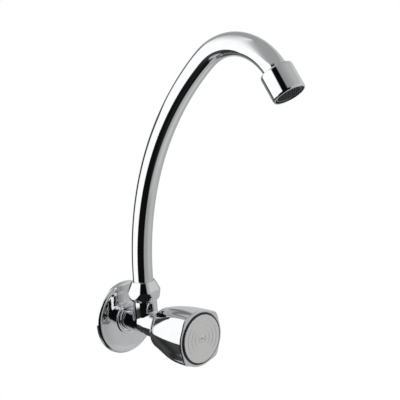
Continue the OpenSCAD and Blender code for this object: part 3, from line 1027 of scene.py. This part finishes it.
@dataclass
class PhotoCamera:
    """The photograph's camera, from a fit of the tube, flange, ring and mouth."""

    azimuth: float = -44.41
    elevation: float = 11.41
    roll: float = -4.02
    focal_px: float = 825.39
    offset: tuple[float, float, float] = (-60.84, -95.25, -676.41)

    def axes(self) -> Matrix:
        """Gives the camera's directions.

        Returns:
            A matrix whose columns are the camera's right, up and back.
        """
        a, e, q = (math.radians(v) for v in (self.azimuth, self.elevation, self.roll))
        back = Vector((math.sin(a) * math.cos(e), -math.cos(a) * math.cos(e), math.sin(e)))
        right = Vector((math.cos(a), math.sin(a), 0))
        up = back.cross(right)
        lean_right = right * math.cos(q) + up * math.sin(q)
        lean_up = up * math.cos(q) - right * math.sin(q)
        return Matrix((lean_right, lean_up, back)).transposed()

    def build(self) -> None:
        """Makes the camera and gives it to the scene."""
        data = bpy.data.cameras.new("photo_camera")
        data.sensor_width = SENSOR_MM
        data.lens = self.focal_px * SENSOR_MM / IMAGE_PX
        data.clip_start = 0.01
        camera = bpy.data.objects.new("photo_camera", data)
        turn = self.axes()
        camera.matrix_world = Matrix.Translation(turn @ Vector(self.offset) * -MM) @ turn.to_4x4()
        bpy.context.scene.collection.objects.link(camera)
        bpy.context.scene.camera = camera


@dataclass
class Studio:
    """The white world, the pale floor and the light tent that the chrome mirrors.

    The tent's greys stand in rows around the tap, by azimuth from -Y towards +X. Heights on the tent are
    shares of its radius. A pair of heights or azimuths says where a row or a side of the softbox starts and
    where it is full.

    Attributes:
        tent_r: radius of the tent.
        centre: middle of the tent.
        floor_z: height of the floor.
        floor_half: half the floor's width.
        strength: the tent's glow.
        level: the row at the level of the tap.
        low: the row below the tap.
        low_start: the heights of that row, as for each row after it.
        deep: the row further down.
        under: the row straight below the tap.
        upper: the row a little above the tap's level.
        brow: the row at the head of the softbox.
        high: the row above the tap.
        tilt: how fast the foot of a second high row climbs with the azimuth.
        tilt_from: the azimuth where that climb starts.
        tilt_start: the heights of that second row, less its climb.
        box_left: azimuths of the bright softbox's left side.
        box_widen: how much further out that side stands in the upper part.
        box_wide: heights where it does.
        box_right: azimuths of the right side.
        box_lean: how far that side leans over with height.
        box_fade: azimuths of the right side inside the second high row.
        box_foot: heights of the softbox's foot.
        box_head: heights of its head.
    """

    tent_r: float = 0.5
    centre: tuple[float, float, float] = (0.0, -0.09, 0.08)
    floor_z: float = -1.2
    floor_half: float = 30.0
    strength: float = 1.2
    level: Greys = (
        (-180, "3C"), (-166, "34"), (-158, "30"), (-104, "0C"), (-31, "0A"), (-26, "9C"), (46, "A8"),
        (106, "AA"), (122, "A0"), (132, "BC"), (147, "BC"), (152, "84"), (170, "54"), (180, "3C"))
    low: Greys = (
        (-180, "34"), (-168, "46"), (-154, "26"), (-142, "40"), (-126, "44"), (-96, "10"), (-26, "0C"),
        (-20, "96"), (20, "9C"), (38, "B0"), (66, "B4"), (90, "AC"), (132, "A0"), (148, "48"), (180, "30"))
    low_start: Span = (-0.36, -0.45)
    deep: Greys = (
        (-180, "20"), (-164, "24"), (-158, "B0"), (-125, "B0"), (-119, "20"), (-34, "18"), (-18, "A0"),
        (36, "BC"), (90, "C4"), (140, "A0"), (152, "40"), (180, "20"))
    deep_start: Span = (-0.70, -0.75)
    under: Greys = (
        (-180, "A0"), (-160, "90"), (-150, "14"), (-34, "10"), (-18, "A0"), (44, "AE"), (180, "A0"))
    under_start: Span = (-0.87, -0.9)
    upper: Greys = (
        (-180, "3C"), (-166, "34"), (-158, "30"), (-104, "0C"), (-23, "0A"), (-17, "A4"), (46, "C6"),
        (106, "C0"), (130, "BC"), (147, "BC"), (149, "A0"), (150.5, "70"), (152, "70"), (154.5, "A0"),
        (165, "8A"), (172, "34"), (180, "30"))
    upper_start: Span = (-0.1, 0.1)
    brow: Greys = (
        (-180, "9C"), (-104, "0C"), (-47, "0A"), (-43, "8C"), (-16, "98"), (30, "B0"), (106, "B0"),
        (130, "9C"), (180, "9C"))
    brow_start: Span = (0.6, 0.66)
    high: Greys = (
        (-180, "A8"), (-150, "C4"), (-118, "E4"), (-95, "B4"), (-74, "9C"), (-40, "98"), (180, "98"))
    high_start: Span = (0.79, 0.82)
    tilt: float = 0.0045
    tilt_from: float = -120.0
    tilt_start: Span = (0.99, 1.02)
    box_left: Span = (-166.0, -162.0)
    box_widen: float = 13.0
    box_wide: Span = (0.22, 0.36)
    box_right: Span = (-91.0, -96.0)
    box_lean: float = 27.0
    box_fade: Span = (-86.0, -132.0)
    box_foot: Span = (-0.395, -0.36)
    box_head: Span = (0.97, 0.62)

    def row(self, tree: Tree, turn: Socket, greys: Greys) -> Socket:
        """Paints one row around the tent.

        Args:
            tree: the material's tree.
            turn: the azimuth from 0 to 1.
            greys: the row's azimuths and greys.

        Returns:
            The row's colour.
        """
        node = add_node(tree, "ShaderNodeValToRGB", None, {"Fac": turn})
        line = node.color_ramp
        while len(line.elements) < len(greys):
            line.elements.new(1.0)
        for element, (degrees, grey) in zip(line.elements, greys):
            element.position = (degrees + 180) / 360
            element.color = linear(grey * 3)
        return node.outputs["Color"]

    def softbox(self, tree: Tree, degrees: Socket, height: Socket, tilted: Socket) -> Socket:
        """Marks out the bright softbox on the tent.

        Args:
            tree: the material's tree.
            degrees: the azimuth.
            height: the height on the tent.
            tilted: the height less the climb of the second high row.

        Returns:
            1 in the softbox and 0 outside it.
        """
        wide = add_node(tree, "ShaderNodeMapRange", SOFT_STEP,
                        {"Value": height, "From Min": self.box_wide[0], "From Max": self.box_wide[1]})
        wider = add_node(tree, "ShaderNodeMath", {"operation": "MULTIPLY_ADD"},
                         {0: wide.outputs["Result"], 1: self.box_widen, 2: degrees}).outputs[0]
        leaning = add_node(tree, "ShaderNodeMath", {"operation": "MULTIPLY_ADD"},
                           {0: height, 1: -self.box_lean, 2: degrees}).outputs[0]
        sides = []
        for value, span in ((wider, self.box_left), (leaning, self.box_right), (degrees, self.box_fade),
                            (tilted, self.tilt_start), (height, self.box_foot), (height, self.box_head)):
            step = add_node(tree, "ShaderNodeMapRange", SOFT_STEP,
                            {"Value": value, "From Min": span[0], "From Max": span[1]})
            sides.append(step.outputs["Result"])
        left, right, fade, above, foot, head = sides
        right = add_node(tree, "ShaderNodeMix", None,
                         {"Factor": above, "A": right, "B": fade}).outputs["Result"]
        box = left
        for side in (right, foot, head):
            box = add_node(tree, "ShaderNodeMath", {"operation": "MULTIPLY"}, {0: box, 1: side}).outputs[0]
        return box

    def tent_material(self) -> bpy.types.Material:
        """Makes the tent's glow: rows of greys around the tap with a bright softbox on them.

        Returns:
            An emission material.
        """
        made = bpy.data.materials.new("tent_cloth")
        made.use_nodes = True
        tree = made.node_tree
        tree.nodes.clear()
        spot = add_node(tree, "ShaderNodeNewGeometry").outputs["Position"]
        away = add_node(tree, "ShaderNodeVectorMath", {"operation": "SUBTRACT"}, {0: spot, 1: self.centre})
        unit = add_node(tree, "ShaderNodeVectorMath", {"operation": "NORMALIZE"}, {0: away.outputs[0]})
        part = add_node(tree, "ShaderNodeSeparateXYZ", None, {0: unit.outputs[0]})
        height = part.outputs["Z"]
        towards = add_node(tree, "ShaderNodeMath", {"operation": "MULTIPLY"},
                           {0: part.outputs["Y"], 1: -1.0}).outputs[0]
        azimuth = add_node(tree, "ShaderNodeMath", {"operation": "ARCTAN2"},
                           {0: part.outputs["X"], 1: towards}).outputs[0]
        turn = add_node(tree, "ShaderNodeMapRange", None,
                        {"Value": azimuth, "From Min": -math.pi, "From Max": math.pi}).outputs["Result"]
        degrees = add_node(tree, "ShaderNodeMath", {"operation": "DEGREES"}, {0: azimuth}).outputs[0]
        climb = add_node(tree, "ShaderNodeMath", {"operation": "MAXIMUM"}, {0: degrees, 1: self.tilt_from})
        tilted = add_node(tree, "ShaderNodeMath", {"operation": "MULTIPLY_ADD"},
                          {0: climb.outputs[0], 1: -self.tilt, 2: height}).outputs[0]
        cloth = self.row(tree, turn, self.level)
        rows = ((self.low, height, self.low_start), (self.deep, height, self.deep_start),
                (self.under, height, self.under_start), (self.upper, height, self.upper_start),
                (self.brow, height, self.brow_start), (self.high, height, self.high_start),
                (self.high, tilted, self.tilt_start))
        for greys, value, span in rows:
            share = add_node(tree, "ShaderNodeMapRange", SOFT_STEP,
                             {"Value": value, "From Min": span[0], "From Max": span[1]}).outputs["Result"]
            painted = self.row(tree, turn, greys)
            cloth = add_node(tree, "ShaderNodeMix", {"data_type": "RGBA"},
                             {"Factor": share, "A": cloth, "B": painted}).outputs["Result"]
        box = self.softbox(tree, degrees, height, tilted)
        cloth = add_node(tree, "ShaderNodeMix", {"data_type": "RGBA"},
                         {"Factor": box, "A": cloth, "B": linear("FFFFFF")}).outputs["Result"]
        glow = add_node(tree, "ShaderNodeEmission", None, {"Color": cloth, "Strength": self.strength})
        add_node(tree, "ShaderNodeOutputMaterial", None, {"Surface": glow.outputs[0]})
        return made

    def tent(self) -> None:
        """Makes the tent, which only mirrors in the tap and never shows or shades."""
        build = bmesh.new()
        bmesh.ops.create_uvsphere(build, u_segments=64, v_segments=32, radius=self.tent_r,
                                  matrix=Matrix.Translation(self.centre))
        mesh = bpy.data.meshes.new("light_tent")
        build.to_mesh(mesh)
        build.free()
        mesh.shade_smooth()
        mesh.materials.append(self.tent_material())
        tent = add_object("light_tent", mesh)
        tent.visible_camera = False
        tent.visible_diffuse = False
        tent.visible_shadow = False
        tent.visible_transmission = False

    def white_share(self, tree: Tree) -> Socket:
        """Adds the test for rays that show the background as it is: from the camera, in metal and in glass.

        Args:
            tree: the tree to add to.

        Returns:
            1 for such a ray and 0 for one that only lights.
        """
        rays = add_node(tree, "ShaderNodeLightPath")
        first = add_node(tree, "ShaderNodeMath", {"operation": "MAXIMUM"},
                         {0: rays.outputs["Is Camera Ray"], 1: rays.outputs["Is Glossy Ray"]})
        both = add_node(tree, "ShaderNodeMath", {"operation": "MAXIMUM"},
                        {0: first.outputs[0], 1: rays.outputs["Is Transmission Ray"]})
        return both.outputs[0]

    def floor(self) -> None:
        """Lays the pale floor, which the world lights to white wherever the tap leaves it in the light."""
        half = self.floor_half
        outline = ((-half, -half), (half, -half), (half, half), (-half, half))
        mesh = bpy.data.meshes.new("floor")
        mesh.from_pydata([(x, y, self.floor_z) for x, y in outline], [], [(0, 1, 2, 3)])
        made = bpy.data.materials.new("pale_floor_paint")
        made.use_nodes = True
        tree = made.node_tree
        tree.nodes.clear()
        colour = linear("F6F6F6")
        paint = add_node(tree, "ShaderNodeBsdfDiffuse", None, {"Color": colour})
        lift = add_node(tree, "ShaderNodeMath", {"operation": "MULTIPLY"},
                        {0: self.white_share(tree), 1: 1 - colour[0]})
        white = add_node(tree, "ShaderNodeEmission", None, {"Strength": lift.outputs[0]})
        both = add_node(tree, "ShaderNodeAddShader", None, {0: paint.outputs[0], 1: white.outputs[0]})
        add_node(tree, "ShaderNodeOutputMaterial", None, {"Surface": both.outputs[0]})
        mesh.materials.append(made)
        add_object("floor", mesh)

    def world(self) -> None:
        """Makes the even white world."""
        world = bpy.data.worlds.new("white_room")
        world.use_nodes = True
        tree = world.node_tree
        tree.nodes.clear()
        glow = add_node(tree, "ShaderNodeBackground", None, {"Color": linear("FFFFFF"), "Strength": 1.0})
        add_node(tree, "ShaderNodeOutputWorld", None, {"Surface": glow.outputs[0]})
        bpy.context.scene.world = world

    def build(self) -> None:
        """Makes the world, the floor and the tent."""
        self.world()
        self.floor()
        self.tent()


def dress_carried(frame: dict) -> None:
    """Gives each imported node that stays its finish.
    """
    for node, finish in CARRIED.items():
        shown = frame["nodes"][node]
        shown.data.materials.clear()
        shown.data.materials.append(finish.material())
        LOG.info("%s keeps its solid in %s", node, finish.name)


def main() -> None:
    """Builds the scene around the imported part."""
    logging.basicConfig(level=logging.INFO, format="%(name)s: %(message)s")
    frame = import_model()
    bpy.context.scene.view_settings.view_transform = "Standard"
    PhotoCamera().build()
    Studio().build()
    Body().build()
    SpoutNut().build()
    Spout().build()
    Knob().build()
    dress_carried(frame)


if __name__ == "__main__":
    main()
